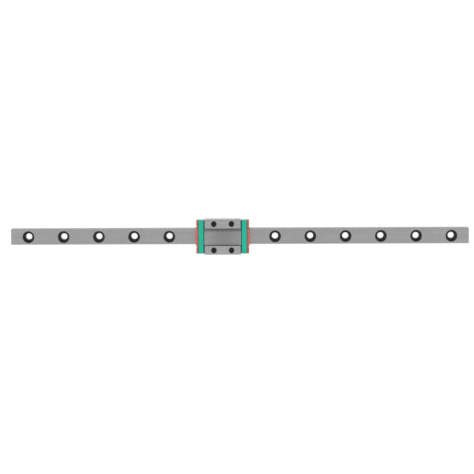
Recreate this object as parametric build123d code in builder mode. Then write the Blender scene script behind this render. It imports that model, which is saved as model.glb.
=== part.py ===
"""Miniature linear guide: a 9 mm profile rail and one short recirculating-ball carriage.

Frame: +X along the rail, +Z up, origin at the middle of the rail's base. The carriage stands
at CARRIAGE_X, about halfway between two of the rail's holes. Its ends are called left (-X) and
right (+X), its two ball circuits front (-Y) and rear (+Y). All lengths are millimetres.
"""

import math
import os

from build123d import *

os.makedirs("parts", exist_ok=True)

# Rail
RAIL_LENGTH = 260.0
RAIL_WIDTH = 9.0
RAIL_HEIGHT = 6.5
RAIL_CHAMFER = 0.3
RAIL_END_CHAMFER = 0.25
HOLE_PITCH = 20.0
HOLE_COUNT = 13
BOLT_HOLE_R = 1.75
COUNTERBORE_R = 3.0
COUNTERBORE_DEPTH = 3.5
COUNTERBORE_CHAMFER = 0.4
BASE_HOLE_CHAMFER = 0.2

# Balls, and the gothic grooves that carry them between the rail and the block
BALL_R = 0.794
BALL_Y = 4.7
BALL_Z = 4.5
BALL_GAP = 0.02
BALLS_PER_ROW = 12
RUNNING_CLEARANCE = 0.03
GROOVE_R = 1.06 * BALL_R
CONTACT_ANGLE = 45

# Retainer wire, which lies in a slot at the root of the rail's groove
WIRE_R = 0.15
WIRE_Y = 3.736
WIRE_TAIL_Y = 5.3
WIRE_TAIL_DEPTH = 2.8
WIRE_BEND_R = 0.3
WIRE_HOLE_R = 0.18
WIRE_SLOT_Y = 3.5
WIRE_SLOT_HEIGHT = 0.5

# Carriage as a whole
CARRIAGE_X = -9.7
CARRIAGE_TOP = 10.0
CARRIAGE_BOTTOM = 2.0

# Slider block
BLOCK_LENGTH = 20.8
BLOCK_WIDTH = 20.0
BLOCK_EDGE_CHAMFER = 0.25
BLOCK_END_CHAMFER = 0.35
CHANNEL_HALF_WIDTH = 4.9
CHANNEL_TOP = 7.1
CHANNEL_CORNER_R = 0.6
RECESS_WIDTH = 10.0
RECESS_DEPTH = 0.5
RECESS_CORNER_R = 1.6
MOUNT_SPACING_X = 10.0
MOUNT_SPACING_Y = 15.0
MOUNT_HOLE_R = 1.25
MOUNT_HOLE_DEPTH = 3.0
MOUNT_CHAMFER = 0.4
DRILL_POINT_ANGLE = 118

# Ball return: a bore along the block, and a half turn round a guide in each end cap
TURN_R = 1.4
RETURN_BORE_R = 0.95
TURN_TUBE_R = 0.9
GUIDE_HEIGHT = 2.8
GUIDE_CLEARANCE = 0.03

# End caps
CAP_THICKNESS = 3.4
CAP_WIDTH = 19.0
CAP_TOP = 9.6
CAP_BOTTOM = 2.3
CAP_TOP_CORNER_R = 0.7
CAP_FOOT_CORNER_R = 0.6
CAP_EDGE_CHAMFER = 0.5
CAP_OPENING_HALF_WIDTH = 4.8
CAP_OPENING_TOP = 6.9
TONGUE_R = 0.74

# End seals
SEAL_THICKNESS = 1.2
SEAL_TOP = 9.4
SEAL_BOTTOM = 2.4
SEAL_WIDTH = 18.9
SEAL_GAP = 0.08
SEAL_EDGE_CHAMFER = 0.2
LIP_HEIGHT = 0.35
LIP_WALL = 0.3
LIP_CHAMFER = 0.1

# Grease port, and the duct on each cap's inner face that feeds both turns
PORT_R = 0.7
PORT_Z = 8.2
DUCT_Z = 8.7
DUCT_WIDTH = 0.4
DUCT_DEPTH = 0.4
DUCT_LEG_Y = 7.4
DUCT_FOOT_Z = 5.2

# Screws that hold each seal and end cap on the block
SCREW_Y = 6.0
SCREW_Z = 7.5
SCREW_R = 0.68
SCREW_LENGTH = 6.0
SCREW_HEAD_R = 1.0
SCREW_HEAD_HEIGHT = 0.5
SCREW_EDGE_R = 0.12
CROSS_LENGTH = 1.2
CROSS_WIDTH = 0.28
CROSS_DEPTH = 0.32
SCREW_HOLE_R = 0.78
SCREW_TAP_R = 0.7
SCREW_TAP_DEPTH = 2.4
SCREW_TAP_CHAMFER = 0.1
HEAD_POCKET_R = 1.1
HEAD_POCKET_DEPTH = 0.6

# Places worked out from the sizes above. X is measured from the carriage's middle.
BLOCK_END = BLOCK_LENGTH / 2
CAP_END = BLOCK_END + CAP_THICKNESS
SEAL_END = CAP_END + SEAL_THICKNESS
TURN_Y = BALL_Y + TURN_R
RETURN_Y = BALL_Y + 2 * TURN_R
ENDS = {"left": -1, "right": 1}
ROWS = {"front": -1, "rear": 1}


def section(x):
    """The plane across the carriage at x: its own x runs along +Y, its own y along +Z."""
    return Plane.YZ.offset(CARRIAGE_X + x)


def end_face(builder, end):
    """The face that reaches furthest toward one end of the carriage."""
    return builder.faces().sort_by(Axis.X)[-1 if end > 0 else 0]


def groove_section(row, toward_rail):
    """A gothic groove: two arcs that a ball touches at the contact angle, one above the other."""
    shift = (GROOVE_R - BALL_R - RUNNING_CLEARANCE) * math.cos(math.radians(CONTACT_ANGLE))
    y = row * (BALL_Y + (shift if toward_rail else -shift))
    with BuildSketch() as groove:
        with Locations((y, BALL_Z - shift)):
            Circle(GROOVE_R)
        with Locations((y, BALL_Z + shift)):
            Circle(GROOVE_R, mode=Mode.INTERSECT)
    return groove.sketch


def rail_opening(half_width, top):
    """The opening that lets the rail through, with a tongue left standing in each groove."""
    with BuildSketch() as opening:
        with Locations((0, top / 2)):
            Rectangle(2 * half_width, top)
        chamfer(opening.vertices().group_by(Axis.Y)[-1], RAIL_CHAMFER)
        with Locations((-BALL_Y, BALL_Z), (BALL_Y, BALL_Z)):
            Circle(TONGUE_R, mode=Mode.SUBTRACT)
    return opening.sketch


def blind_hole(radius, depth, mouth):
    """A drilled hole with a chamfered mouth at z = 0, going down to its drill point."""
    point = radius / math.tan(math.radians(DRILL_POINT_ANGLE / 2))
    with BuildPart() as hole:
        with BuildSketch(Plane.XZ):
            with BuildLine():
                Polyline(
                    (0, 0),
                    (radius + mouth, 0),
                    (radius, -mouth),
                    (radius, -depth),
                    (0, -depth - point),
                    close=True,
                )
            make_face()
        revolve(axis=Axis.Z)
    return hole.part


def make_rail():
    """The rail: a ground bar with a gothic groove along each side and counterbored holes."""
    grooves = [groove_section(row, toward_rail=True) for row in ROWS.values()]
    with BuildPart() as rail:
        with BuildSketch(Plane.YZ) as bar:
            with Locations((0, RAIL_HEIGHT / 2)):
                Rectangle(RAIL_WIDTH, RAIL_HEIGHT)
            chamfer(bar.vertices(), RAIL_CHAMFER)
        extrude(amount=RAIL_LENGTH / 2, both=True)
        chamfer(end_face(rail, -1).edges(), RAIL_END_CHAMFER)
        chamfer(end_face(rail, 1).edges(), RAIL_END_CHAMFER)
        with BuildSketch(Plane.YZ):
            add(grooves)
            slot_depth = RAIL_WIDTH / 2 - WIRE_SLOT_Y
            slot_y = WIRE_SLOT_Y + slot_depth / 2
            with Locations((-slot_y, BALL_Z), (slot_y, BALL_Z)):
                Rectangle(slot_depth, WIRE_SLOT_HEIGHT)
        extrude(amount=RAIL_LENGTH / 2, both=True, mode=Mode.SUBTRACT)
        with Locations(Plane.XY.offset(RAIL_HEIGHT)):
            with GridLocations(HOLE_PITCH, HOLE_PITCH, HOLE_COUNT, 1):
                CounterBoreHole(BOLT_HOLE_R, COUNTERBORE_R, COUNTERBORE_DEPTH)
        rims = rail.edges().filter_by(GeomType.CIRCLE).filter_by(lambda rim: rim.radius > 1.5)
        chamfer(rims.group_by(Axis.Z)[-1], COUNTERBORE_CHAMFER)
        chamfer(rims.group_by(Axis.Z)[0], BASE_HOLE_CHAMFER)
    rail.part.label = "rail"
    export_step(rail.part, "parts/rail.step")


def make_slider_block():
    """The hardened block: it saddles the rail and carries the load on both ball rows."""
    grooves = [groove_section(row, toward_rail=False) for row in ROWS.values()]
    mount_hole = blind_hole(MOUNT_HOLE_R, MOUNT_HOLE_DEPTH, MOUNT_CHAMFER)
    screw_hole = blind_hole(SCREW_TAP_R, SCREW_TAP_DEPTH, SCREW_TAP_CHAMFER)
    with BuildPart() as block:
        with BuildSketch(section(0)) as outline:
            with Locations((0, (CARRIAGE_TOP + CARRIAGE_BOTTOM) / 2)):
                Rectangle(BLOCK_WIDTH, CARRIAGE_TOP - CARRIAGE_BOTTOM)
            chamfer(outline.vertices(), BLOCK_EDGE_CHAMFER)
        extrude(amount=BLOCK_END, both=True)
        chamfer(end_face(block, -1).edges(), BLOCK_END_CHAMFER)
        chamfer(end_face(block, 1).edges(), BLOCK_END_CHAMFER)
        with BuildSketch(section(0)) as hollow:
            with Locations((0, CHANNEL_TOP / 2)):
                Rectangle(2 * CHANNEL_HALF_WIDTH, CHANNEL_TOP)
            fillet(hollow.vertices().group_by(Axis.Y)[-1], CHANNEL_CORNER_R)
            add(grooves)
            with Locations((-RETURN_Y, BALL_Z), (RETURN_Y, BALL_Z)):
                Circle(RETURN_BORE_R)
        extrude(amount=BLOCK_END, both=True, mode=Mode.SUBTRACT)
        with BuildSketch(section(0)) as recess:
            with BuildLine():
                floor_half_width = RECESS_WIDTH / 2 - RECESS_DEPTH
                Polyline(
                    (-RECESS_WIDTH / 2, CARRIAGE_TOP),
                    (-floor_half_width, CARRIAGE_TOP - RECESS_DEPTH),
                    (floor_half_width, CARRIAGE_TOP - RECESS_DEPTH),
                    (RECESS_WIDTH / 2, CARRIAGE_TOP),
                    close=True,
                )
            make_face()
            fillet(recess.vertices().group_by(Axis.Y)[0], RECESS_CORNER_R)
        extrude(amount=BLOCK_END, both=True, mode=Mode.SUBTRACT)
        with Locations(Plane.XY.offset(CARRIAGE_TOP)):
            with Locations((CARRIAGE_X, 0)):
                with GridLocations(MOUNT_SPACING_X, MOUNT_SPACING_Y, 2, 2):
                    add(mount_hole, mode=Mode.SUBTRACT)
        for end in ENDS.values():
            face = Plane(
                origin=(CARRIAGE_X + end * BLOCK_END, 0, SCREW_Z), x_dir=(0, 1, 0), z_dir=(end, 0, 0)
            )
            with Locations(face):
                with GridLocations(2 * SCREW_Y, 1, 2, 1):
                    add(screw_hole, mode=Mode.SUBTRACT)
    block.part.label = "slider_block"
    export_step(block.part, "parts/slider_block.step")


def grease_duct(end):
    """The duct along a cap's inner face: across from the port, then down to each ball turn."""
    leg_top = DUCT_Z + DUCT_WIDTH / 2
    leg_middle = (leg_top + DUCT_FOOT_Z) / 2
    with BuildPart() as duct:
        with BuildSketch(section(end * BLOCK_END)):
            with Locations((0, DUCT_Z)):
                Rectangle(2 * DUCT_LEG_Y + DUCT_WIDTH, DUCT_WIDTH)
            with Locations((-DUCT_LEG_Y, leg_middle), (DUCT_LEG_Y, leg_middle)):
                Rectangle(DUCT_WIDTH, leg_top - DUCT_FOOT_Z)
        extrude(amount=end * DUCT_DEPTH)
    return duct.part


def make_end_cap(end_name):
    """A moulded cap: its inner face holds the outer wall of both ball turns."""
    end = ENDS[end_name]
    opening = rail_opening(CAP_OPENING_HALF_WIDTH, CAP_OPENING_TOP)
    duct = grease_duct(end)
    with BuildPart() as cap:
        with BuildSketch(section(end * BLOCK_END)) as outline:
            with Locations((0, (CAP_TOP + CAP_BOTTOM) / 2)):
                Rectangle(CAP_WIDTH, CAP_TOP - CAP_BOTTOM)
            fillet(outline.vertices().group_by(Axis.Y)[-1], CAP_TOP_CORNER_R)
            fillet(outline.vertices().group_by(Axis.Y)[0], CAP_FOOT_CORNER_R)
        extrude(amount=end * CAP_THICKNESS)
        chamfer(end_face(cap, -end).edges(), CAP_EDGE_CHAMFER)
        with BuildSketch(section(end * BLOCK_END)):
            add(opening)
            with Locations((0, PORT_Z)):
                Circle(PORT_R)
            with Locations((-SCREW_Y, SCREW_Z), (SCREW_Y, SCREW_Z)):
                Circle(SCREW_HOLE_R)
        extrude(amount=end * CAP_THICKNESS, mode=Mode.SUBTRACT)
        for row in ROWS.values():
            with Locations((CARRIAGE_X + end * BLOCK_END, row * TURN_Y, BALL_Z)):
                Torus(TURN_R, TURN_TUBE_R, mode=Mode.SUBTRACT)
                Cylinder(TURN_R, GUIDE_HEIGHT, mode=Mode.SUBTRACT)
            tail = Plane(
                origin=(CARRIAGE_X + end * (BLOCK_END + WIRE_TAIL_DEPTH), 0, BALL_Z),
                x_dir=(1, 0, 0),
                z_dir=(0, row, 0),
            )
            with BuildSketch(tail.offset(WIRE_Y)):
                Circle(WIRE_HOLE_R)
            extrude(amount=WIRE_TAIL_Y + WIRE_R - WIRE_Y, mode=Mode.SUBTRACT)
        add(duct, mode=Mode.SUBTRACT)
    cap.part.label = f"end_cap_{end_name}"
    export_step(cap.part, f"parts/end_cap_{end_name}.step")


def make_return_guide(end_name, row_name):
    """Half a spool: the inner wall of one ball turn, held between the cap and the block."""
    end = ENDS[end_name]
    duct = grease_duct(end)
    with BuildPart() as guide:
        with Locations((CARRIAGE_X + end * BLOCK_END, ROWS[row_name] * TURN_Y, BALL_Z)):
            Cylinder(TURN_R - GUIDE_CLEARANCE, GUIDE_HEIGHT - 2 * GUIDE_CLEARANCE)
            Torus(TURN_R, TURN_TUBE_R, mode=Mode.SUBTRACT)
        split(bisect_by=section(end * BLOCK_END), keep=Keep.TOP if end > 0 else Keep.BOTTOM)
        add(duct, mode=Mode.SUBTRACT)
    guide.part.label = f"return_guide_{end_name}_{row_name}"
    export_step(guide.part, f"parts/return_guide_{end_name}_{row_name}.step")


def make_end_seal(end_name):
    """A wiper plate: a raised lip follows the rail, and two notches hold the screws' heads."""
    end = ENDS[end_name]
    half_width = RAIL_WIDTH / 2 + SEAL_GAP
    top = RAIL_HEIGHT + SEAL_GAP
    lip_top = top + LIP_WALL
    opening = rail_opening(half_width, top)
    with BuildPart() as seal:
        with BuildSketch(section(end * CAP_END)) as outline:
            with Locations((0, (SEAL_TOP + SEAL_BOTTOM) / 2)):
                Rectangle(SEAL_WIDTH, SEAL_TOP - SEAL_BOTTOM)
            fillet(outline.vertices().group_by(Axis.Y)[-1], CAP_TOP_CORNER_R)
            fillet(outline.vertices().group_by(Axis.Y)[0], CAP_FOOT_CORNER_R)
        extrude(amount=end * SEAL_THICKNESS)
        chamfer(end_face(seal, end).edges(), SEAL_EDGE_CHAMFER)
        with BuildSketch(section(end * SEAL_END)) as lip:
            with Locations((0, (lip_top + SEAL_BOTTOM) / 2)):
                Rectangle(2 * (half_width + LIP_WALL), lip_top - SEAL_BOTTOM)
            chamfer(lip.vertices().group_by(Axis.Y)[-1], RAIL_CHAMFER)
        extrude(amount=end * LIP_HEIGHT)
        chamfer(end_face(seal, end).edges(), LIP_CHAMFER)
        with BuildSketch(section(end * CAP_END)):
            add(opening)
            with Locations((0, PORT_Z)):
                Circle(PORT_R)
            with Locations((-SCREW_Y, SCREW_Z), (SCREW_Y, SCREW_Z)):
                Circle(SCREW_HOLE_R)
        extrude(amount=end * (SEAL_THICKNESS + LIP_HEIGHT), mode=Mode.SUBTRACT)
        with BuildSketch(section(end * SEAL_END)):
            with Locations((-SCREW_Y, SCREW_Z), (SCREW_Y, SCREW_Z)):
                Circle(HEAD_POCKET_R)
                Rectangle(2 * HEAD_POCKET_R, SEAL_TOP - SCREW_Z, align=(Align.CENTER, Align.MIN))
        extrude(amount=-end * HEAD_POCKET_DEPTH, mode=Mode.SUBTRACT)
    seal.part.label = f"end_seal_{end_name}"
    export_step(seal.part, f"parts/end_seal_{end_name}.step")


def make_end_screw(end_name, row_name):
    """A small cross-recessed screw through the seal and the cap into the block."""
    end = ENDS[end_name]
    seat = Plane(
        origin=(
            CARRIAGE_X + end * (SEAL_END - HEAD_POCKET_DEPTH),
            ROWS[row_name] * SCREW_Y,
            SCREW_Z,
        ),
        x_dir=(0, 1, 0),
        z_dir=(end, 0, 0),
    )
    with BuildPart() as screw:
        with BuildSketch(seat):
            Circle(SCREW_R)
        extrude(amount=-SCREW_LENGTH)
        with BuildSketch(seat):
            Circle(SCREW_HEAD_R)
        extrude(amount=SCREW_HEAD_HEIGHT)
        fillet(end_face(screw, end).edges(), SCREW_EDGE_R)
        with BuildSketch(seat.offset(SCREW_HEAD_HEIGHT)):
            Rectangle(CROSS_LENGTH, CROSS_WIDTH)
            Rectangle(CROSS_WIDTH, CROSS_LENGTH)
        extrude(amount=-CROSS_DEPTH, mode=Mode.SUBTRACT)
    screw.part.label = f"end_screw_{end_name}_{row_name}"
    export_step(screw.part, f"parts/end_screw_{end_name}_{row_name}.step")


def make_retainer_wire(row_name):
    """A spring wire along the loaded row, its tails bent outward into both end caps."""
    row = ROWS[row_name]
    reach = BLOCK_END + WIRE_TAIL_DEPTH
    with BuildPart() as wire:
        with BuildLine() as path:
            FilletPolyline(
                (CARRIAGE_X - reach, row * WIRE_TAIL_Y, BALL_Z),
                (CARRIAGE_X - reach, row * WIRE_Y, BALL_Z),
                (CARRIAGE_X + reach, row * WIRE_Y, BALL_Z),
                (CARRIAGE_X + reach, row * WIRE_TAIL_Y, BALL_Z),
                radius=WIRE_BEND_R,
            )
        with BuildSketch(Plane(origin=path.line @ 0, z_dir=path.line % 0)):
            Circle(WIRE_R)
        sweep()
    wire.part.label = f"retainer_wire_{row_name}"
    export_step(wire.part, f"parts/retainer_wire_{row_name}.step")


def turn_angles():
    """Where the three balls of a turn stand, in radians from the loaded row's side."""
    step = 2 * math.asin((2 * BALL_R + BALL_GAP) / (2 * TURN_R))
    return [math.pi / 2 - step, math.pi / 2, math.pi / 2 + step]


def row_pitch():
    """The balls' spacing along a straight row, so that the row just clears both turns."""
    first_angle = turn_angles()[0]
    along = TURN_R * math.sin(first_angle)
    aside = TURN_R * (1 - math.cos(first_angle))
    last_ball = BLOCK_END + along - math.sqrt((2 * BALL_R + BALL_GAP) ** 2 - aside**2)
    return 2 * last_ball / (BALLS_PER_ROW - 1)


def make_ball_row(kind, row_name, y):
    """One straight row of balls: the loaded one on the rail, or the one in the return bore."""
    with BuildPart() as balls:
        with Locations((CARRIAGE_X, ROWS[row_name] * y, BALL_Z)):
            with GridLocations(row_pitch(), 1, BALLS_PER_ROW, 1):
                Sphere(BALL_R)
    balls.part.label = f"{kind}_balls_{row_name}"
    export_step(balls.part, f"parts/{kind}_balls_{row_name}.step")


def make_turn_balls(end_name, row_name):
    """The three balls on their way round one turn."""
    end = ENDS[end_name]
    row = ROWS[row_name]
    places = [
        (
            CARRIAGE_X + end * (BLOCK_END + TURN_R * math.sin(angle)),
            row * (TURN_Y - TURN_R * math.cos(angle)),
            BALL_Z,
        )
        for angle in turn_angles()
    ]
    with BuildPart() as balls:
        with Locations(*places):
            Sphere(BALL_R)
    balls.part.label = f"turn_balls_{end_name}_{row_name}"
    export_step(balls.part, f"parts/turn_balls_{end_name}_{row_name}.step")


make_rail()
make_slider_block()
for row_label in ROWS:
    make_retainer_wire(row_label)
    make_ball_row("load", row_label, BALL_Y)
    make_ball_row("return", row_label, RETURN_Y)
for end_label in ENDS:
    make_end_cap(end_label)
    make_end_seal(end_label)
    for row_label in ROWS:
        make_return_guide(end_label, row_label)
        make_end_screw(end_label, row_label)
        make_turn_balls(end_label, row_label)
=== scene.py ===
"""Looks of the miniature linear guide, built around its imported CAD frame.

Meshes are made in millimetres, because booleans and bevels are steadier at that size, and
are scaled to metres when they are finished. Every piece stands where its CAD node stands.
"""

import math

import bmesh
import bpy
from mathutils import Matrix, Vector


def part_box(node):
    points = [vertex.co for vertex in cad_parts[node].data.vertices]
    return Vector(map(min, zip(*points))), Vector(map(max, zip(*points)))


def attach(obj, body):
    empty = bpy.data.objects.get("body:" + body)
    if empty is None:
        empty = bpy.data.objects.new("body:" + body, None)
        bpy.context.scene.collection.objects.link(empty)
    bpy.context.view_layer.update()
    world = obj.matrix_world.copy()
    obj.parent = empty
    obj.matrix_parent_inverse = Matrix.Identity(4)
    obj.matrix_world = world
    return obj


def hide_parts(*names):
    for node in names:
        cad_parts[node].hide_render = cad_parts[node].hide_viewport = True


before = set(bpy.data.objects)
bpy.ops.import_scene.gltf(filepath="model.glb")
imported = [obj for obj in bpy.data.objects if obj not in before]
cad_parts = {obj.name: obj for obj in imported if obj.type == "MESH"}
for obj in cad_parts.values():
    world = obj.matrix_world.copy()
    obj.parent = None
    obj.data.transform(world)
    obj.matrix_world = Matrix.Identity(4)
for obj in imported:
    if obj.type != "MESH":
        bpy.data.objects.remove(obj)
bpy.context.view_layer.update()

MM = 0.001
ENDS = {"left": -1, "right": 1}
ROWS = {"front": -1, "rear": 1}


def box_mm(node):
    """A CAD node's lowest and highest corners, in millimetres."""
    low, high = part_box(node)
    return Vector(low) / MM, Vector(high) / MM


# ---------------------------------------------------------------- sizes, in millimetres

RAIL_LOW, RAIL_HIGH = box_mm("rail")
BLOCK_LOW, BLOCK_HIGH = box_mm("slider_block")
CARRIAGE_X = (BLOCK_LOW.x + BLOCK_HIGH.x) / 2
BLOCK_END = (BLOCK_HIGH.x - BLOCK_LOW.x) / 2

RAIL_CHAMFER = 0.3
RAIL_END_CHAMFER = 0.25
HOLE_PITCH = 20.0
HOLE_COUNT = 13
BOLT_HOLE_R = 1.75
COUNTERBORE_R = 3.0
COUNTERBORE_DEPTH = 3.5
COUNTERBORE_CHAMFER = 0.4
BASE_HOLE_CHAMFER = 0.2

BALL_R = 0.794
BALL_Y = 4.7
BALL_Z = 4.5
GROOVE_R = 1.06 * BALL_R
GROOVE_SHIFT = (GROOVE_R - BALL_R - 0.03) * math.cos(math.radians(45))
WIRE_SLOT_Y = 3.5
WIRE_SLOT_HEIGHT = 0.5
WIRE_TAIL_DEPTH = 2.8
WIRE_TAIL_Y = 5.45
WIRE_HOLE_R = 0.18
WIRE_HOLE_START_Y = 3.6

BLOCK_EDGE_CHAMFER = 0.25
BLOCK_END_CHAMFER = 0.35
CHANNEL_HALF_WIDTH = 4.9
CHANNEL_TOP = 7.1
CHANNEL_CORNER_R = 0.6
RECESS_HALF_WIDTH = 5.0
RECESS_DEPTH = 0.5
RECESS_CORNER_R = 1.6
RECESS_WALL_ANGLE = 45
MOUNT_X = 5.0
MOUNT_Y = 7.5
THREAD_MINOR_R = 1.25
THREAD_MAJOR_R = 1.5
THREAD_PITCH = 0.5
THREAD_DEPTH = 3.0
MOUNT_MOUTH_R = 1.7
DRILL_TIP_ANGLE = 59

TURN_R = 1.4
TURN_Y = BALL_Y + TURN_R
RETURN_Y = BALL_Y + 2 * TURN_R
RETURN_BORE_R = 0.95
TURN_TUBE_R = 0.9
GUIDE_HEIGHT = 2.8

CAP_THICKNESS = 3.4
CAP_TOP_CORNER_R = 0.7
CAP_FOOT_CORNER_R = 0.6
CAP_EDGE_CHAMFER = 0.5
CAP_OUTER_CHAMFER = 0.25
CAP_OPENING_HALF_WIDTH = 4.8
CAP_OPENING_TOP = 6.9
TONGUE_R = 0.74

SEAL_THICKNESS = 1.2
SEAL_EDGE_CHAMFER = 0.2
SEAL_INNER_CHAMFER = 0.2
SEAL_GAP = 0.08
LIP_HEIGHT = 0.35
LIP_WALL = 0.3
LIP_CHAMFER = 0.1

PORT_R = 0.7
PORT_Z = 8.2
DUCT_Z = 8.7
DUCT_WIDTH = 0.4
DUCT_DEPTH = 0.4
DUCT_LEG_Y = 7.4
DUCT_FOOT_Z = 5.2

SCREW_Y = 6.0
SCREW_Z = 7.5
SCREW_R = 0.68
SCREW_LENGTH = 6.0
SCREW_TIP_TAPER = 0.2
SCREW_TIP_LENGTH = 0.25
SCREW_THREAD_START = 0.35
SCREW_HEAD_R = 1.0
SCREW_HEAD_HEIGHT = 0.5
SCREW_HEAD_EDGE_R = 0.22
SCREW_HEAD_CROWN = 0.036
SCREW_PLAIN_LENGTH = 1.0
SCREW_THREADS = 16
SCREW_THREAD_DEPTH = 0.13
CROSS_HALF_LENGTH = 0.62
CROSS_HALF_WIDTH = 0.15
CROSS_DEPTH = 0.32
SCREW_HOLE_R = 0.78
SCREW_TAP_R = 0.7
SCREW_TAP_DEPTH = 2.4
SCREW_TAP_TIP = 0.42
HEAD_POCKET_R = 1.1
HEAD_POCKET_DEPTH = 0.6

OVERRUN = 0.5
SOFT_EDGE = 0.05
FINE_SOFT_EDGE = 0.04
RUBBER_SOFT_EDGE = 0.06
NEAR = 0.02
SAME_POINT = 1e-5
SAME_CAD_POINT = 1e-7
SAME_PLANE = math.radians(0.2)
SHARP_EDGE = math.radians(28)
HARD_SHADING = math.radians(32)


# ---------------------------------------------------------------- mesh tools


def make_object(name, bm):
    """A new object from a bmesh, with its faces turned outward."""
    bmesh.ops.recalc_face_normals(bm, faces=bm.faces)
    mesh = bpy.data.meshes.new(name)
    bm.to_mesh(mesh)
    bm.free()
    piece = bpy.data.objects.new(name, mesh)
    bpy.context.scene.collection.objects.link(piece)
    return piece


def loft(name, sections):
    """A closed solid through sections, which are rings of points with the same count."""
    bm = bmesh.new()
    rings = [[bm.verts.new(point) for point in section] for section in sections]
    count = len(rings[0])
    for low, high in zip(rings, rings[1:]):
        for i in range(count):
            j = (i + 1) % count
            bm.faces.new((low[i], low[j], high[j], high[i]))
    bm.faces.new(rings[0])
    bm.faces.new(rings[-1])
    return make_object(name, bm)


def across(x, outline):
    """An outline of (y, z) points, stood across the rail at x."""
    return [(x, y, z) for y, z in outline]


def prism(name, outline, x0, x1):
    return loft(name, [across(x0, outline), across(x1, outline)])


def lathe(name, profile, places, segments=96):
    """Solids of revolution, one at each place, from (radius, height) points turned about z."""
    bm = bmesh.new()
    for place in places:
        rings = []
        for radius, height in profile:
            if radius == 0:
                rings.append([bm.verts.new(place @ Vector((0, 0, height)))])
                continue
            ring = []
            for i in range(segments):
                angle = math.tau * i / segments
                point = Vector((radius * math.cos(angle), radius * math.sin(angle), height))
                ring.append(bm.verts.new(place @ point))
            rings.append(ring)
        for low, high in zip(rings, rings[1:]):
            for i in range(segments):
                j = (i + 1) % segments
                below = [low[i % len(low)], low[j % len(low)]]
                above = [high[j % len(high)], high[i % len(high)]]
                bm.faces.new(list(dict.fromkeys(below + above)))
        for ring in (rings[0], rings[-1]):
            if len(ring) > 1:
                bm.faces.new(ring)
    return make_object(name, bm)


def upright(x, y, z):
    return Matrix.Translation((x, y, z))


def pointing(x, y, z, direction):
    """A place whose z axis points along a direction."""
    turn = Vector((0, 0, 1)).rotation_difference(Vector(direction)).to_matrix().to_4x4()
    return Matrix.Translation((x, y, z)) @ turn


def settle(piece):
    """Makes a piece's modifiers part of its mesh."""
    graph = bpy.context.evaluated_depsgraph_get()
    mesh = bpy.data.meshes.new_from_object(piece.evaluated_get(graph))
    piece.modifiers.clear()
    piece.data = mesh


def combine(piece, tool, operation):
    modifier = piece.modifiers.new(operation.lower(), "BOOLEAN")
    modifier.operation = operation
    modifier.solver = "EXACT"
    modifier.object = tool
    settle(piece)
    bpy.data.objects.remove(tool)


def carve(piece, *tools):
    for tool in tools:
        combine(piece, tool, "DIFFERENCE")


def soften(piece, width=SOFT_EDGE, segments=2):
    """Rounds every sharp edge a little, as real edges are."""
    bm = bmesh.new()
    bm.from_mesh(piece.data)
    bmesh.ops.remove_doubles(bm, verts=bm.verts, dist=SAME_POINT)
    bmesh.ops.dissolve_limit(bm, angle_limit=SAME_PLANE, verts=bm.verts, edges=bm.edges)
    bm.to_mesh(piece.data)
    bm.free()
    modifier = piece.modifiers.new("soften", "BEVEL")
    modifier.width = width
    modifier.segments = segments
    modifier.limit_method = "ANGLE"
    modifier.angle_limit = SHARP_EDGE
    modifier.use_clamp_overlap = True
    settle(piece)


def finish_piece(piece, body, nodes, materials):
    """Smooth shading, real scale, materials, and the piece's place in the frame."""
    mesh = piece.data
    mesh.transform(Matrix.Scale(MM, 4))
    mesh.shade_smooth()
    mesh.set_sharp_from_angle(angle=HARD_SHADING)
    for material in materials:
        mesh.materials.append(material)
    normals = piece.modifiers.new("flat_faces", "WEIGHTED_NORMAL")
    normals.keep_sharp = True
    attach(piece, body)
    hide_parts(*nodes)
    return piece


def mark_faces(piece, index, test):
    """Gives the faces whose centre passes the test another material of the piece's list."""
    for face in piece.data.polygons:
        if test(face.center, face.normal):
            face.material_index = index


def arc(centre_y, centre_z, radius, start, end, steps):
    """Points on an arc across the rail; angles in degrees from +Y towards +Z."""
    points = []
    for i in range(steps + 1):
        angle = math.radians(start + (end - start) * i / steps)
        points.append((centre_y + radius * math.cos(angle), centre_z + radius * math.sin(angle)))
    return points


def mirrored(points):
    return [(-y, z) for y, z in reversed(points)]


def rounded_outline(half_width, foot, top, foot_r, top_r, steps=10):
    """A rectangle across the rail with rounded corners, counter-clockwise from its foot."""
    right = arc(half_width - foot_r, foot + foot_r, foot_r, -90, 0, steps)
    right += arc(half_width - top_r, top - top_r, top_r, 0, 90, steps)
    return right + mirrored(right)


def chamfered_outline(half_width, foot, top, chamfer, inset=0.0):
    """A rectangle across the rail with chamfered corners, shrunk by an inset on every side."""
    leg = chamfer - inset * (2 - math.sqrt(2))
    side, low, high = half_width - inset, foot + inset, top - inset
    right = [(side - leg, low), (side, low + leg), (side, high - leg), (side - leg, high)]
    return right + mirrored(right)


# ---------------------------------------------------------------- the pieces' meshes


def groove_arcs(toward_rail, low_stop, high_stop):
    """The right-hand groove's two arcs as (y, z) points, from the lower arc's mouth upward.

    The arcs meet a ball 45 degrees above and below its middle. The stops are the angles
    where each arc ends, counted from +Y; the rail's groove opens that way, the block's away.
    """
    side = 1 if toward_rail else -1
    y = BALL_Y + side * GROOVE_SHIFT
    upper = arc(y, BALL_Z - GROOVE_SHIFT, GROOVE_R, low_stop, high_stop, 24)
    lower = [(py, 2 * BALL_Z - pz) for py, pz in reversed(upper)]
    return upper, lower


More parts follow.
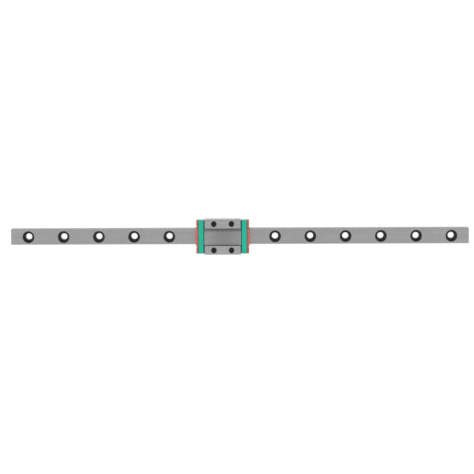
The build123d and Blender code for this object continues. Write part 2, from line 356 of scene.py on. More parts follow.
def rail_groove_cutter(row):
    """One side's groove, with the slot for the retainer wire at its root."""
    slot_half = WIRE_SLOT_HEIGHT / 2
    root = 180 - math.degrees(math.asin((slot_half + GROOVE_SHIFT) / GROOVE_R))
    upper, lower = groove_arcs(True, 50, root)
    slot = [(WIRE_SLOT_Y, BALL_Z + slot_half), (WIRE_SLOT_Y, BALL_Z - slot_half)]
    outline = upper + slot + lower
    if row < 0:
        outline = mirrored(outline)
    return prism("groove", outline, RAIL_LOW.x - OVERRUN, RAIL_HIGH.x + OVERRUN)


def hole_places(z):
    """The rail's holes, spaced evenly about its middle."""
    first = -HOLE_PITCH * (HOLE_COUNT - 1) / 2
    return [upright(first + HOLE_PITCH * i, 0, z) for i in range(HOLE_COUNT)]


def rail_hole_cutter():
    top = RAIL_HIGH.z
    floor = top - COUNTERBORE_DEPTH
    mouth = COUNTERBORE_R + COUNTERBORE_CHAMFER
    profile = [
        (BOLT_HOLE_R + BASE_HOLE_CHAMFER + OVERRUN, -OVERRUN),
        (BOLT_HOLE_R + BASE_HOLE_CHAMFER, 0),
        (BOLT_HOLE_R, BASE_HOLE_CHAMFER),
        (BOLT_HOLE_R, floor),
        (COUNTERBORE_R, floor),
        (COUNTERBORE_R, top - COUNTERBORE_CHAMFER),
        (mouth, top),
        (mouth + OVERRUN, top + OVERRUN),
    ]
    return lathe("holes", profile, hole_places(0))


def build_rail():
    half_width = (RAIL_HIGH.y - RAIL_LOW.y) / 2
    whole = chamfered_outline(half_width, 0, RAIL_HIGH.z, RAIL_CHAMFER)
    end = chamfered_outline(half_width, 0, RAIL_HIGH.z, RAIL_CHAMFER, RAIL_END_CHAMFER)
    rail = loft(
        "rail_visible",
        [
            across(RAIL_LOW.x, end),
            across(RAIL_LOW.x + RAIL_END_CHAMFER, whole),
            across(RAIL_HIGH.x - RAIL_END_CHAMFER, whole),
            across(RAIL_HIGH.x, end),
        ],
    )
    carve(rail, rail_groove_cutter(-1), rail_groove_cutter(1), rail_hole_cutter())
    soften(rail)
    return rail


def channel_outline():
    """The block's inside: its gothic grooves, its flat flanks and its rounded ceiling corners."""
    y = BALL_Y - GROOVE_SHIFT
    edge = math.degrees(math.acos((CHANNEL_HALF_WIDTH - y) / GROOVE_R))
    root = math.degrees(math.asin(GROOVE_SHIFT / GROOVE_R))
    upper, lower = groove_arcs(False, root, edge)
    ceiling = arc(
        CHANNEL_HALF_WIDTH - CHANNEL_CORNER_R,
        CHANNEL_TOP - CHANNEL_CORNER_R,
        CHANNEL_CORNER_R,
        0,
        90,
        8,
    )
    right = [(CHANNEL_HALF_WIDTH, BLOCK_LOW.z - OVERRUN)] + lower + upper[1:] + ceiling
    return right + mirrored(right)


def threaded_hole(name, places):
    """Blind tapped holes: a helical thread, a chamfered mouth and a drill point."""
    segments = 48
    rows_per_turn = 12
    root_flat, flank_width = 0.12, 0.7
    depth = THREAD_DEPTH + THREAD_MINOR_R / math.tan(math.radians(DRILL_TIP_ANGLE))
    rows = round((THREAD_DEPTH + OVERRUN) / THREAD_PITCH * rows_per_turn)
    bm = bmesh.new()
    for place in places:
        rings = []
        for j in range(rows + 1):
            z = OVERRUN - (THREAD_DEPTH + OVERRUN) * j / rows
            ring = []
            for i in range(segments):
                turn = i / segments
                phase = (z / THREAD_PITCH - turn) % 1.0
                ridge = abs(2 * phase - 1)
                flank = min(max((ridge - root_flat) / flank_width, 0.0), 1.0)
                radius = THREAD_MINOR_R + (THREAD_MAJOR_R - THREAD_MINOR_R) * flank
                radius = max(radius, MOUNT_MOUTH_R + z) if z > -OVERRUN else radius
                angle = math.tau * turn
                point = Vector((radius * math.cos(angle), radius * math.sin(angle), z))
                ring.append(bm.verts.new(place @ point))
            rings.append(ring)
        tip = bm.verts.new(place @ Vector((0, 0, -depth)))
        for low, high in zip(rings, rings[1:]):
            for i in range(segments):
                j = (i + 1) % segments
                bm.faces.new((low[i], low[j], high[j], high[i]))
        for i in range(segments):
            bm.faces.new((rings[-1][i], rings[-1][(i + 1) % segments], tip))
        bm.faces.new(rings[0])
    return make_object(name, bm)


def build_slider_block():
    half_width = (BLOCK_HIGH.y - BLOCK_LOW.y) / 2
    foot, top = BLOCK_LOW.z, BLOCK_HIGH.z
    whole = chamfered_outline(half_width, foot, top, BLOCK_EDGE_CHAMFER)
    end = chamfered_outline(half_width, foot, top, BLOCK_EDGE_CHAMFER, BLOCK_END_CHAMFER)
    block = loft(
        "slider_block_visible",
        [
            across(BLOCK_LOW.x, end),
            across(BLOCK_LOW.x + BLOCK_END_CHAMFER, whole),
            across(BLOCK_HIGH.x - BLOCK_END_CHAMFER, whole),
            across(BLOCK_HIGH.x, end),
        ],
    )
    x0, x1 = BLOCK_LOW.x - OVERRUN, BLOCK_HIGH.x + OVERRUN
    steepest = RECESS_WALL_ANGLE - 90
    setback = RECESS_CORNER_R * math.tan(math.radians(RECESS_WALL_ANGLE / 2))
    arc_y = RECESS_HALF_WIDTH - RECESS_DEPTH - setback
    arc_z = top - RECESS_DEPTH + RECESS_CORNER_R
    recess = arc(arc_y, arc_z, RECESS_CORNER_R, -90, steepest, 12)
    recess.append((RECESS_HALF_WIDTH + OVERRUN, top + OVERRUN))
    carve(block, prism("recess", recess + mirrored(recess), x0, x1))
    carve(block, prism("channel", channel_outline(), x0, x1))
    bore = [(RETURN_BORE_R, 0), (RETURN_BORE_R, x1 - x0)]
    bores = [pointing(x0, row * RETURN_Y, BALL_Z, (1, 0, 0)) for row in ROWS.values()]
    carve(block, lathe("return_bores", bore, bores, 64))
    tap_end = SCREW_TAP_DEPTH + SCREW_TAP_TIP
    tap = [(SCREW_TAP_R, -OVERRUN), (SCREW_TAP_R, SCREW_TAP_DEPTH), (0, tap_end)]
    taps = []
    for end_sign in ENDS.values():
        for row in ROWS.values():
            x = CARRIAGE_X + end_sign * BLOCK_END
            taps.append(pointing(x, row * SCREW_Y, SCREW_Z, (-end_sign, 0, 0)))
    carve(block, lathe("screw_taps", tap, taps, 48))
    soften(block)
    places = []
    for end_sign in ENDS.values():
        for row in ROWS.values():
            places.append(upright(CARRIAGE_X + end_sign * MOUNT_X, row * MOUNT_Y, top))
    carve(block, threaded_hole("mount_holes", places))
    return block


def opening_outline(half_width, top, chamfer, foot):
    """The rail's way through an end piece, with a tongue reaching into each groove."""
    dip = math.degrees(math.acos((half_width - BALL_Y) / TONGUE_R))
    tongue = arc(BALL_Y, BALL_Z, TONGUE_R, -dip, -(360 - dip), 20)
    right = [(half_width, foot)] + tongue
    right += [(half_width, top - chamfer), (half_width - chamfer, top)]
    return right + mirrored(right)


def end_piece_rim(low, high, inset):
    """The rim of a cap or a seal, shrunk by an inset on every side."""
    return rounded_outline(
        high.y - inset,
        low.z + inset,
        high.z - inset,
        CAP_FOOT_CORNER_R - inset,
        CAP_TOP_CORNER_R - inset,
    )


def pierce(piece, inner, end, thickness):
    """The grease port and the screws' clearance holes, right through a cap or a seal."""
    port = [(PORT_R, -OVERRUN), (PORT_R, thickness + OVERRUN)]
    carve(piece, lathe("port", port, [pointing(inner, 0, PORT_Z, (end, 0, 0))], 64))
    hole = [(SCREW_HOLE_R, -OVERRUN), (SCREW_HOLE_R, thickness + OVERRUN)]
    places = [pointing(inner, row * SCREW_Y, SCREW_Z, (end, 0, 0)) for row in ROWS.values()]
    carve(piece, lathe("screw_holes", hole, places, 48))


def build_end_cap(end_name):
    """The moulded cap, hollowed for both ball turns, the grease duct and the wire's tails."""
    end = ENDS[end_name]
    low, high = box_mm(f"end_cap_{end_name}")
    inner = CARRIAGE_X + end * BLOCK_END
    outer = inner + end * CAP_THICKNESS
    rim = end_piece_rim(low, high, 0)
    cap = loft(
        f"end_cap_{end_name}_visible",
        [
            across(inner, end_piece_rim(low, high, CAP_EDGE_CHAMFER)),
            across(inner + end * CAP_EDGE_CHAMFER, rim),
            across(outer - end * CAP_OUTER_CHAMFER, rim),
            across(outer, end_piece_rim(low, high, CAP_OUTER_CHAMFER)),
        ],
    )
    foot = low.z - OVERRUN
    opening = opening_outline(CAP_OPENING_HALF_WIDTH, CAP_OPENING_TOP, RAIL_CHAMFER, foot)
    carve(cap, prism("opening", opening, inner - end * OVERRUN, outer + end * OVERRUN))
    soften(cap, FINE_SOFT_EDGE)
    pierce(cap, inner, end, CAP_THICKNESS)
    for row in ROWS.values():
        carve(cap, turn_cutter(inner, row))
        tail = [(WIRE_HOLE_R, 0), (WIRE_HOLE_R, WIRE_TAIL_Y - WIRE_HOLE_START_Y)]
        x = inner + end * WIRE_TAIL_DEPTH
        place = pointing(x, row * WIRE_HOLE_START_Y, BALL_Z, (0, row, 0))
        carve(cap, lathe("wire_hole", tail, [place], 24))
    carve(cap, duct_cutter(inner, end))
    return cap


def turn_cutter(x, row):
    """The ring that a ball sweeps round a turn, joined to the pocket that holds its guide."""
    half = GUIDE_HEIGHT / 2
    steps = 24
    profile = [(0, -half), (TURN_R, -half)]
    profile += arc(TURN_R, 0, TURN_TUBE_R, -90, 90, steps)
    profile += [(TURN_R, half), (0, half)]
    return lathe("turn", profile, [upright(x, row * TURN_Y, BALL_Z)], 72)


def duct_cutter(x, end):
    """The grease duct on the cap's inner face: across from the port, and down to each turn."""
    half = DUCT_WIDTH / 2
    right = [
        (DUCT_LEG_Y - half, DUCT_Z - half),
        (DUCT_LEG_Y - half, DUCT_FOOT_Z),
        (DUCT_LEG_Y + half, DUCT_FOOT_Z),
        (DUCT_LEG_Y + half, DUCT_Z + half),
    ]
    return prism("duct", right + mirrored(right), x - end * OVERRUN, x + end * DUCT_DEPTH)


def build_end_seal(end_name):
    """The wiper: a plate, a lip round the rail, and open notches for the screws' heads."""
    end = ENDS[end_name]
    low, high = box_mm(f"end_seal_{end_name}")
    inner = CARRIAGE_X + end * (BLOCK_END + CAP_THICKNESS)
    outer = inner + end * SEAL_THICKNESS
    lip_end = outer + end * LIP_HEIGHT
    rim = end_piece_rim(low, high, 0)
    seal = loft(
        f"end_seal_{end_name}_visible",
        [
            across(inner, end_piece_rim(low, high, SEAL_INNER_CHAMFER)),
            across(inner + end * SEAL_INNER_CHAMFER, rim),
            across(outer - end * SEAL_EDGE_CHAMFER, rim),
            across(outer, end_piece_rim(low, high, SEAL_EDGE_CHAMFER)),
        ],
    )
    gap_half = RAIL_HIGH.y + SEAL_GAP
    gap_top = RAIL_HIGH.z + SEAL_GAP

    def lip_rim(inset):
        return chamfered_outline(
            gap_half + LIP_WALL - inset, low.z + inset, gap_top + LIP_WALL - inset, RAIL_CHAMFER
        )

    lip = loft(
        "lip",
        [
            across(outer - end * SEAL_EDGE_CHAMFER, lip_rim(0)),
            across(lip_end - end * LIP_CHAMFER, lip_rim(0)),
            across(lip_end, lip_rim(LIP_CHAMFER)),
        ],
    )
    combine(seal, lip, "UNION")
    opening = opening_outline(gap_half, gap_top, RAIL_CHAMFER, low.z - OVERRUN)
    carve(seal, prism("opening", opening, inner - end * OVERRUN, lip_end + end * OVERRUN))
    pocket_floor = outer - end * HEAD_POCKET_DEPTH
    for row in ROWS.values():
        notch = arc(row * SCREW_Y, SCREW_Z, HEAD_POCKET_R, 180, 360, 32)
        notch += [
            (row * SCREW_Y + HEAD_POCKET_R, high.z + OVERRUN),
            (row * SCREW_Y - HEAD_POCKET_R, high.z + OVERRUN),
        ]
        carve(seal, prism("notch", notch, pocket_floor, lip_end + end * OVERRUN))
    soften(seal, RUBBER_SOFT_EDGE)
    pierce(seal, inner, end, SEAL_THICKNESS)
    return seal


def cross_cutter(place, half_x, half_y):
    """One bar of a screw's cross recess, narrowing towards its bottom."""
    corners = [(half_x, half_y), (-half_x, half_y), (-half_x, -half_y), (half_x, -half_y)]
    mouth = (1.15, SCREW_HEAD_HEIGHT + 0.1)
    root = (0.55, SCREW_HEAD_HEIGHT - CROSS_DEPTH)
    sections = []
    for scale, z in (mouth, root):
        sections.append([place @ Vector((x * scale, y * scale, z)) for x, y in corners])
    return loft("cross", sections)


def build_end_screw(end_name, row_name):
    """A pan-headed screw with a tapered cross recess and a threaded shank."""
    end = ENDS[end_name]
    seat_x = CARRIAGE_X + end * (BLOCK_END + CAP_THICKNESS + SEAL_THICKNESS - HEAD_POCKET_DEPTH)
    place = pointing(seat_x, ROWS[row_name] * SCREW_Y, SCREW_Z, (end, 0, 0))
    tip = -SCREW_LENGTH
    profile = [(0, tip), (SCREW_R - SCREW_TIP_TAPER, tip), (SCREW_R, tip + SCREW_TIP_LENGTH)]
    thread_start = tip + SCREW_THREAD_START
    pitch = (-SCREW_PLAIN_LENGTH - thread_start) / SCREW_THREADS
    for i in range(SCREW_THREADS):
        z = thread_start + pitch * i
        profile += [(SCREW_R - SCREW_THREAD_DEPTH, z + pitch / 4), (SCREW_R, z + pitch * 3 / 4)]
    edge_z = SCREW_HEAD_HEIGHT - SCREW_HEAD_EDGE_R
    profile += [(SCREW_R, 0), (SCREW_HEAD_R, 0), (SCREW_HEAD_R, edge_z)]
    steps = 8
    for i in range(1, steps + 1):
        angle = math.radians(90 * i / steps)
        radius = SCREW_HEAD_R - SCREW_HEAD_EDGE_R * (1 - math.cos(angle))
        rise = (SCREW_HEAD_EDGE_R - SCREW_HEAD_CROWN) * math.sin(angle)
        profile.append((radius, edge_z + rise))
    profile.append((0, SCREW_HEAD_HEIGHT))
    screw = lathe(f"end_screw_{end_name}_{row_name}_visible", profile, [place], 48)
    carve(screw, cross_cutter(place, CROSS_HALF_LENGTH, CROSS_HALF_WIDTH))
    carve(screw, cross_cutter(place, CROSS_HALF_WIDTH, CROSS_HALF_LENGTH))
    return screw


def ball_centres(node):
    """The middle of each loose island of a CAD node's mesh, in millimetres, in a fixed order."""
    bm = bmesh.new()
    bm.from_mesh(node.data)
    bmesh.ops.remove_doubles(bm, verts=bm.verts, dist=SAME_CAD_POINT)
    seen = set()
    centres = []
    for seed in bm.verts:
        if seed.index in seen:
            continue
        seen.add(seed.index)
        island, edge = [], [seed]
        while edge:
            vertex = edge.pop()
            island.append(vertex.co)
            for link in vertex.link_edges:
                other = link.other_vert(vertex)
                if other.index not in seen:
                    seen.add(other.index)
                    edge.append(other)
        low = [min(point[axis] for point in island) for axis in range(3)]
        high = [max(point[axis] for point in island) for axis in range(3)]
        centres.append((Vector(low) + Vector(high)) / 2 / MM)
    bm.free()
    return sorted(centres, key=tuple)


def build_balls(node):
    """The balls of one CAD node, as fine spheres on the middles of its solids."""
    half_circle = arc(0, 0, BALL_R, -90, 90, 20)
    profile = [(0, -BALL_R)] + half_circle[1:-1] + [(0, BALL_R)]
    places = [Matrix.Translation(centre) for centre in ball_centres(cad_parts[node])]
    return lathe(f"{node}_visible", profile, places, 32)


# ---------------------------------------------------------------- materials


def add_node(tree, kind, inputs=None, **settings):
    """A shader node with its settings, its input values and its incoming links."""
    node = tree.nodes.new(kind)
    for name, value in settings.items():
        setattr(node, name, value)
    for name, value in (inputs or {}).items():
        if isinstance(value, bpy.types.NodeSocket):
            tree.links.new(value, node.inputs[name])
        else:
            node.inputs[name].default_value = value
    return node


def ramp(tree, factor, stops):
    """A colour ramp through (position, colour) stops."""
    node = add_node(tree, "ShaderNodeValToRGB", {"Fac": factor})
    elements = node.color_ramp.elements
    elements[0].position, elements[0].color = stops[0][0], stops[0][1]
    elements[1].position, elements[1].color = stops[-1][0], stops[-1][1]
    for position, color in stops[1:-1]:
        element = elements.new(position)
        element.color = color
    return node.outputs["Color"]


def grey(value):
    return (value, value, value, 1.0)


def noise(tree, per_mm, detail=3.0, roughness=0.55):
    """Noise whose grain has a size along each axis, given as grains per millimetre."""
    coords = add_node(tree, "ShaderNodeTexCoord")
    scale = tuple(value / MM for value in per_mm)
    stretch = {"Vector": coords.outputs["Object"], "Scale": scale}
    mapping = add_node(tree, "ShaderNodeMapping", stretch)
    grain = {"Vector": mapping.outputs["Vector"], "Scale": 1.0, "Detail": detail}
    grain["Roughness"] = roughness
    return add_node(tree, "ShaderNodeTexNoise", grain).outputs["Fac"]


def mix(tree, factor, first, second, blend_type="MIX"):
    node = add_node(tree, "ShaderNodeMix", data_type="RGBA", blend_type=blend_type)
    for index, value in ((0, factor), (6, first), (7, second)):
        if isinstance(value, bpy.types.NodeSocket):
            tree.links.new(value, node.inputs[index])
        else:
            node.inputs[index].default_value = value
    return node.outputs[2]


def math_node(tree, operation, *values):
    node = add_node(tree, "ShaderNodeMath", operation=operation)
    for index, value in enumerate(values):
        if isinstance(value, bpy.types.NodeSocket):
            tree.links.new(value, node.inputs[index])
        else:
            node.inputs[index].default_value = value
    return node.outputs[0]


def spread(tree, factor, low, high):
    """Maps a 0 to 1 value onto low to high."""
    node = add_node(tree, "ShaderNodeMapRange", {"Value": factor, "To Min": low, "To Max": high})
    return node.outputs["Result"]


def bump(tree, height, distance_mm, strength=1.0):
    inputs = {"Height": height, "Distance": distance_mm * MM, "Strength": strength}
    return add_node(tree, "ShaderNodeBump", inputs).outputs["Normal"]


def new_material(name, **principled):
    """A material and its tree; principled values go straight on the shader's own sockets."""
    material = bpy.data.materials.new(name)
    material.use_nodes = True
    tree = material.node_tree
    shader = tree.nodes["Principled BSDF"]
    for socket, value in principled.items():
        shader.inputs[socket.replace("_", " ")].default_value = value
    return material, tree, shader


def ground_steel(name, base, grain, roughness=(0.30, 0.42), mottle=0.06, speckle=0.07):
    """Steel ground along X: long fine scratches, faint broad streaks and a slight mottle."""
    material, tree, shader = new_material(name, Metallic=1.0)
    fine = noise(tree, (0.05, grain, grain), detail=4.0)
    broad = noise(tree, (0.015, 0.9, 0.9), detail=2.0)
    cloud = noise(tree, (0.12, 0.25, 0.25), detail=3.0)
    speck = noise(tree, (1.1, 1.5, 1.5), detail=3.0)
    fine_tone = ramp(tree, fine, [(0.3, grey(base * 0.86)), (0.7, grey(base * 1.10))])
    broad_tone = ramp(tree, broad, [(0.35, grey(1 - mottle)), (0.65, grey(1.0))])
    cloud_tone = ramp(tree, cloud, [(0.3, grey(1 - mottle)), (0.7, grey(1.0))])
    speck_tone = ramp(tree, speck, [(0.35, grey(1 - speckle)), (0.6, grey(1.0))])
    tone = fine_tone
    for layer in (broad_tone, cloud_tone, speck_tone):
        tone = mix(tree, 1.0, tone, layer, "MULTIPLY")
    tree.links.new(tone, shader.inputs["Base Color"])
    tree.links.new(spread(tree, fine, *roughness), shader.inputs["Roughness"])
    tree.links.new(bump(tree, fine, 0.004), shader.inputs["Normal"])
    return material


def milled_steel(name, base):
    """The recess: arcs left by a cutter that swung about a centre in front, with painted shade
    along both walls and about the middle of its length.
    """
    material, tree, shader = new_material(name, Metallic=1.0)
    coords = add_node(tree, "ShaderNodeTexCoord")
    place = add_node(tree, "ShaderNodeSeparateXYZ", {"Vector": coords.outputs["Object"]})
    swing_x, swing_y = (CARRIAGE_X + 1.0) * MM, -10.0 * MM
    feed = 1.15 * MM
    fine_marks = 3
    most_drift = 1.4
    x = math_node(tree, "SUBTRACT", place.outputs["X"], swing_x)
    y = math_node(tree, "SUBTRACT", place.outputs["Y"], swing_y)
    radius_2 = math_node(tree, "MULTIPLY_ADD", x, x, math_node(tree, "MULTIPLY", y, y))
    radius = math_node(tree, "SQRT", radius_2)
    drift = noise(tree, (0.35, 0.35, 0.35), detail=2.0)
    turns = math_node(tree, "DIVIDE", radius, feed)
    phase = math_node(tree, "MULTIPLY_ADD", drift, most_drift, turns)
    wave = math_node(tree, "SINE", math_node(tree, "MULTIPLY", phase, math.tau))
    arcs = math_node(tree, "MULTIPLY_ADD", wave, 0.5, 0.5)
    fine_phase = math_node(tree, "MULTIPLY", phase, fine_marks * math.tau)
    fine_wave = math_node(tree, "SINE", fine_phase)
    fine_arcs = math_node(tree, "MULTIPLY_ADD", fine_wave, 0.5, 0.5)
    grain = noise(tree, (2.0, 2.0, 2.0), detail=4.0)
    cloud = noise(tree, (0.16, 0.16, 0.16), detail=2.0)
    # Painted shade: the recess floor is darker about the middle of its length and lighter towards
    # its ends.
    reach = math_node(tree, "ABSOLUTE", math_node(tree, "DIVIDE", x, BLOCK_END * MM))
    middle_painted_shade = ramp(tree, reach, [(0.3, grey(0.78)), (0.95, grey(1.0))])
    # Painted shade: the recess floor turns darker in strips along its front and rear walls.
    wide = 2 * RECESS_HALF_WIDTH * MM
    over = math_node(tree, "MULTIPLY_ADD", place.outputs["Y"], 1 / wide, 0.5)
    front = [(0.03, grey(0.5)), (0.09, grey(0.88)), (0.18, grey(1.0))]
    rear = [(0.77, grey(1.0)), (0.84, grey(0.7)), (0.90, grey(0.6)), (0.94, grey(0.95))]
    wall_painted_shade = ramp(tree, over, front + rear)
    fine_tone = ramp(tree, fine_arcs, [(0.0, grey(0.94)), (1.0, grey(1.0))])
    grain_tone = ramp(tree, grain, [(0.3, grey(0.84)), (0.65, grey(1.0))])
    cloud_tone = ramp(tree, cloud, [(0.35, grey(0.92)), (0.65, grey(1.0))])
    tone = ramp(tree, arcs, [(0.0, grey(base * 0.92)), (1.0, grey(base * 1.06))])
    for layer in (fine_tone, grain_tone, cloud_tone, middle_painted_shade, wall_painted_shade):
        tone = mix(tree, 1.0, tone, layer, "MULTIPLY")
    tree.links.new(tone, shader.inputs["Base Color"])
    tree.links.new(spread(tree, grain, 0.36, 0.48), shader.inputs["Roughness"])
    height = math_node(tree, "MULTIPLY_ADD", fine_arcs, 0.5, grain)
    tree.links.new(bump(tree, height, 0.004), shader.inputs["Normal"])
    return material


def bore_scale(name, low, high):
    """The dark scale that hardening leaves inside holes, where nothing is ground afterwards; also
    laid on the pads' end chamfers as painted shade.
    """
    material, tree, shader = new_material(name, Metallic=0.7)
    patch = noise(tree, (1.2, 1.2, 1.2), detail=4.0)
    tone = ramp(tree, patch, [(0.3, grey(low)), (0.75, grey(high))])
    tree.links.new(tone, shader.inputs["Base Color"])
    tree.links.new(spread(tree, patch, 0.35, 0.6), shader.inputs["Roughness"])
    tree.links.new(bump(tree, patch, 0.01), shader.inputs["Normal"])
    return material


def polished_steel(name, base, low, high, grain):
    """Small bright pieces: faint handling marks and a slightly uneven polish."""
    material, tree, shader = new_material(name, Metallic=1.0)
    marks = noise(tree, grain, detail=4.0)
    tone = ramp(tree, marks, [(0.3, grey(base * 0.9)), (0.7, grey(base))])
    tree.links.new(tone, shader.inputs["Base Color"])
    tree.links.new(spread(tree, marks, low, high), shader.inputs["Roughness"])
    tree.links.new(bump(tree, marks, 0.002), shader.inputs["Normal"])
    return material


def moulded(name, color, roughness, grain_per_mm=4.0, mottle=0.10, depth_mm=0.012):
    """Moulded plastic or rubber: spark-eroded grain, slight clouding and flow tone."""
    material, tree, shader = new_material(name, Specular_IOR_Level=0.4)
    grain = noise(tree, (grain_per_mm,) * 3, detail=3.0, roughness=0.6)
    cloud = noise(tree, (0.22, 0.1, 0.22), detail=3.0)
    light = tuple(min(channel * (1 + mottle), 1.0) for channel in color) + (1.0,)
    dark = tuple(channel * (1 - mottle) for channel in color) + (1.0,)
    tone = ramp(tree, cloud, [(0.3, dark), (0.7, light)])
    pits = ramp(tree, grain, [(0.25, grey(0.86)), (0.5, grey(1.0))])
    tree.links.new(mix(tree, 1.0, tone, pits, "MULTIPLY"), shader.inputs["Base Color"])
    uneven = spread(tree, grain, roughness - 0.08, roughness + 0.08)
    tree.links.new(uneven, shader.inputs["Roughness"])
    tree.links.new(bump(tree, grain, depth_mm), shader.inputs["Normal"])
    return material


RAIL_STEEL = ground_steel("rail_steel", 0.455, 7.0)
BLOCK_STEEL = ground_steel("block_steel", 0.50, 3.0, mottle=0.04, speckle=0.16)
# Painted highlight: a much brighter steel than the rail's, laid on the rail's upper chamfers.
RAIL_EDGE_PAINTED_HIGHLIGHT = polished_steel("rail_edge_painted_highlight", 0.85, 0.2, 0.32, (0.4, 4.0, 4.0))
MILLED_STEEL = milled_steel("milled_steel", 0.44)
BORE_SCALE = bore_scale("bore_scale", 0.03, 0.10)
THREAD_SCALE = bore_scale("thread_scale", 0.04, 0.12)
# Painted shade: dark steel on the pads' end chamfers beside the caps.
PAD_END_PAINTED_SHADE = bore_scale("pad_end_painted_shade", 0.10, 0.16)
CAP_PLASTIC = moulded("cap_plastic", (0.004, 0.47, 0.31), 0.42)
# Painted shade: darker green on the cap's chamfers in the joints beside the block and the seal.
CAP_JOINT_PAINTED_SHADE = moulded("cap_joint_painted_shade", (0.003, 0.15, 0.10), 0.3)
SEAL_RUBBER = moulded("seal_rubber", (0.58, 0.13, 0.10), 0.48)
# Painted shade: darker red on the seal's chamfer in the joint beside the cap.
SEAL_JOINT_PAINTED_SHADE = moulded("seal_joint_painted_shade", (0.24, 0.055, 0.04), 0.35)
GUIDE_PLASTIC = moulded("guide_plastic", (0.74, 0.72, 0.65), 0.4)
SCREW_STEEL = polished_steel("screw_steel", 0.55, 0.22, 0.36, (2.0, 2.0, 2.0))
BALL_STEEL = polished_steel("ball_steel", 0.75, 0.05, 0.12, (1.5, 1.5, 1.5))
WIRE_STEEL = polished_steel("wire_steel", 0.6, 0.2, 0.32, (0.3, 6.0, 6.0))


# ---------------------------------------------------------------- the model


def from_hole_axis(point):
    """How far a point stands from the nearest rail hole's axis."""
    nearest = round(point.x / HOLE_PITCH) * HOLE_PITCH
    return math.hypot(point.x - nearest, point.y)


def in_counterbore(centre, normal):
    within_mouth = from_hole_axis(centre) < COUNTERBORE_R + COUNTERBORE_CHAMFER + NEAR
    floor = RAIL_HIGH.z - COUNTERBORE_DEPTH
    return within_mouth and floor - NEAR < centre.z < RAIL_HIGH.z - NEAR


def on_recess_floor(centre, normal):
    depth = BLOCK_HIGH.z - centre.z
    between_pads = normal.z > 0.6 and abs(centre.y) < RECESS_HALF_WIDTH
    return between_pads and NEAR < depth < RECESS_DEPTH + NEAR


def in_block_hole(centre, normal):
    x = abs(centre.x - CARRIAGE_X) - MOUNT_X
    y = abs(centre.y) - MOUNT_Y
    depth = BLOCK_HIGH.z - centre.z
    return math.hypot(x, y) < MOUNT_MOUTH_R and NEAR / 2 < depth < 2 * THREAD_DEPTH


def on_rail_edge(centre, normal):
    """The upper chamfers along both sides of the rail, which get a much brighter steel as a
    painted highlight.
    """
    inner = RAIL_HIGH - Vector((0, 2 * RAIL_CHAMFER, 2 * RAIL_CHAMFER))
    sloping = normal.z > 0.3 and abs(normal.y) > 0.3 and abs(normal.x) < 0.2
    return sloping and centre.z > inner.z and abs(centre.y) > inner.y


def on_pad_end(centre, normal):
    """The pads' end chamfers beside the caps, which get dark steel as painted shade."""
    on_pad = abs(centre.y) > RECESS_HALF_WIDTH and centre.z > BLOCK_HIGH.z - BLOCK_END_CHAMFER
    return on_pad and normal.z > 0.3 and abs(normal.x) > 0.3


def on_cap_rim(centre, normal):
    """The chamfers beside the block and the seal, darkened as painted shade in the joints."""
    from_block = abs(centre.x - CARRIAGE_X) - BLOCK_END
    beside_block = 0 < from_block < CAP_EDGE_CHAMFER
    beside_seal = CAP_THICKNESS - CAP_OUTER_CHAMFER < from_block < CAP_THICKNESS
    return 0.3 < abs(normal.x) < 0.95 and (beside_block or beside_seal)


def on_seal_rim(centre, normal):
    """The seal's chamfer beside the cap, darkened as painted shade in the same joint."""
    from_cap = abs(centre.x - CARRIAGE_X) - BLOCK_END - CAP_THICKNESS
    return 0.3 < abs(normal.x) < 0.95 and 0 < from_cap < SEAL_INNER_CHAMFER


rail = build_rail()
mark_faces(rail, 1, in_counterbore)
mark_faces(rail, 2, on_rail_edge)
finish_piece(rail, "rail", ["rail"], [RAIL_STEEL, BORE_SCALE, RAIL_EDGE_PAINTED_HIGHLIGHT])

block = build_slider_block()
mark_faces(block, 1, on_recess_floor)
mark_faces(block, 2, in_block_hole)
mark_faces(block, 3, on_pad_end)
block_finishes = [BLOCK_STEEL, MILLED_STEEL, THREAD_SCALE, PAD_END_PAINTED_SHADE]
finish_piece(block, "carriage", ["slider_block"], block_finishes)

cap_finishes = [CAP_PLASTIC, CAP_JOINT_PAINTED_SHADE]
seal_finishes = [SEAL_RUBBER, SEAL_JOINT_PAINTED_SHADE]
for end_name in ENDS:
    cap = build_end_cap(end_name)
    mark_faces(cap, 1, on_cap_rim)
    finish_piece(cap, "carriage", [f"end_cap_{end_name}"], cap_finishes)
    seal = build_end_seal(end_name)
    mark_faces(seal, 1, on_seal_rim)
    finish_piece(seal, "carriage", [f"end_seal_{end_name}"], seal_finishes)
    for row_name in ROWS:
        screw = build_end_screw(end_name, row_name)
        node = f"end_screw_{end_name}_{row_name}"
        finish_piece(screw, "carriage", [node], [SCREW_STEEL])

ball_nodes = [f"{kind}_balls_{row}" for kind in ("load", "return") for row in ROWS]
ball_nodes += [f"turn_balls_{end}_{row}" for end in ENDS for row in ROWS]
for node in ball_nodes:
    finish_piece(build_balls(node), "carriage", [node], [BALL_STEEL])

for row_name in ROWS:
    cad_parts[f"retainer_wire_{row_name}"].data.materials[0] = WIRE_STEEL
    for end_name in ENDS:
        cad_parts[f"return_guide_{end_name}_{row_name}"].data.materials[0] = GUIDE_PLASTIC


# ---------------------------------------------------------------- floor, light and camera


def build_floor():
    """A pale table that also glows a little, as a lit sweep does in a packshot."""
    reach = 3.0
    drop = -0.02 * MM
    paper, glow = 0.1, 0.97
    bm = bmesh.new()
    corners = [(-reach, -reach), (reach, -reach), (reach, reach), (-reach, reach)]
    bm.faces.new([bm.verts.new((x, y, drop)) for x, y in corners])
    floor = make_object("floor", bm)
    material, tree, shader = new_material("floor_paper", Roughness=0.9)
    shader.inputs["Base Color"].default_value = grey(paper)
    shader.inputs["Emission Color"].default_value = grey(1.0)
    shader.inputs["Emission Strength"].default_value = glow
    floor.data.materials.append(material)


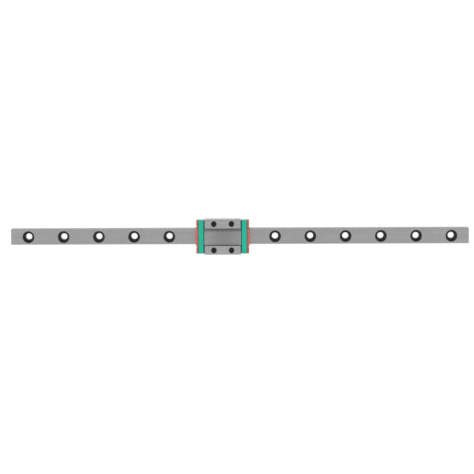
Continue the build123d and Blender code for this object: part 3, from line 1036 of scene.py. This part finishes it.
def build_world():
    """A studio round the object: bright overhead and beyond the rail's ends, dark elsewhere.

    Dark cards stand in front and behind. The rear one stands lower, so slopes that face the
    rear stay brighter.
    """
    rear_tilt = 0.22
    backdrop = 0.95
    world = bpy.data.worlds.new("studio")
    bpy.context.scene.world = world
    world.use_nodes = True
    tree = world.node_tree
    background = tree.nodes["Background"]
    coords = add_node(tree, "ShaderNodeTexCoord")
    way = add_node(tree, "ShaderNodeSeparateXYZ", {"Vector": coords.outputs["Generated"]})
    height = math_node(tree, "MULTIPLY_ADD", way.outputs["Y"], rear_tilt, way.outputs["Z"])
    cards = [(0.0, grey(0.30)), (0.45, grey(0.21)), (0.70, grey(0.26))]
    overhead = [(0.88, grey(0.80)), (1.0, grey(0.86))]
    across_rail = ramp(tree, height, cards + overhead)
    ends = [(0.0, grey(0.25)), (0.3, grey(0.35)), (0.6, grey(1.0))]
    along_rail = ramp(tree, way.outputs["Z"], ends)
    aside = math_node(tree, "ABSOLUTE", way.outputs["X"])
    toward_end = ramp(tree, aside, [(0.25, grey(0.0)), (0.6, grey(1.0))])
    studio = mix(tree, toward_end, across_rail, along_rail)
    rays = add_node(tree, "ShaderNodeLightPath")
    seen = mix(tree, rays.outputs["Is Camera Ray"], studio, grey(backdrop))
    tree.links.new(seen, background.inputs["Color"])


def build_softboxes():
    """A large softbox beyond each end of the rail, low enough not to mirror in its top."""
    away, forward, height = 1.0, 0.05, 0.42
    diameter, watts = 1.4, 6.5
    for side in ENDS.values():
        light = bpy.data.lights.new("softbox", "AREA")
        light.shape = "DISK"
        light.size = diameter
        light.energy = watts
        lamp = bpy.data.objects.new("softbox", light)
        lamp.location = (side * away, -forward, height)
        lamp.rotation_mode = "QUATERNION"
        lamp.rotation_quaternion = (-lamp.location).to_track_quat("-Z", "Y")
        bpy.context.scene.collection.objects.link(lamp)


def build_camera():
    """Almost straight above, leaning a little towards the rear, with a long lens."""
    camera = bpy.data.cameras.new("camera")
    camera.sensor_width = 36.0
    camera.lens = 143.38
    camera.clip_end = 10.0
    viewer = bpy.data.objects.new("camera", camera)
    place = Vector((3.9, 128.0, 1070.0)) * MM
    aim = Vector((-1.6, -0.29, 6.5)) * MM
    viewer.location = place
    back = (place - aim).normalized()
    right = Vector((0, 1, 0)).cross(back).normalized()
    upward = back.cross(right)
    look = Matrix((right, upward, back)).transposed()
    roll = Matrix.Rotation(math.radians(-0.24), 3, "Z")
    viewer.rotation_mode = "QUATERNION"
    viewer.rotation_quaternion = (look @ roll).to_quaternion()
    bpy.context.scene.collection.objects.link(viewer)
    bpy.context.scene.camera = viewer


build_floor()
build_world()
build_softboxes()
build_camera()
bpy.context.scene.view_settings.view_transform = "Standard"
bpy.context.scene.view_settings.look = "None"
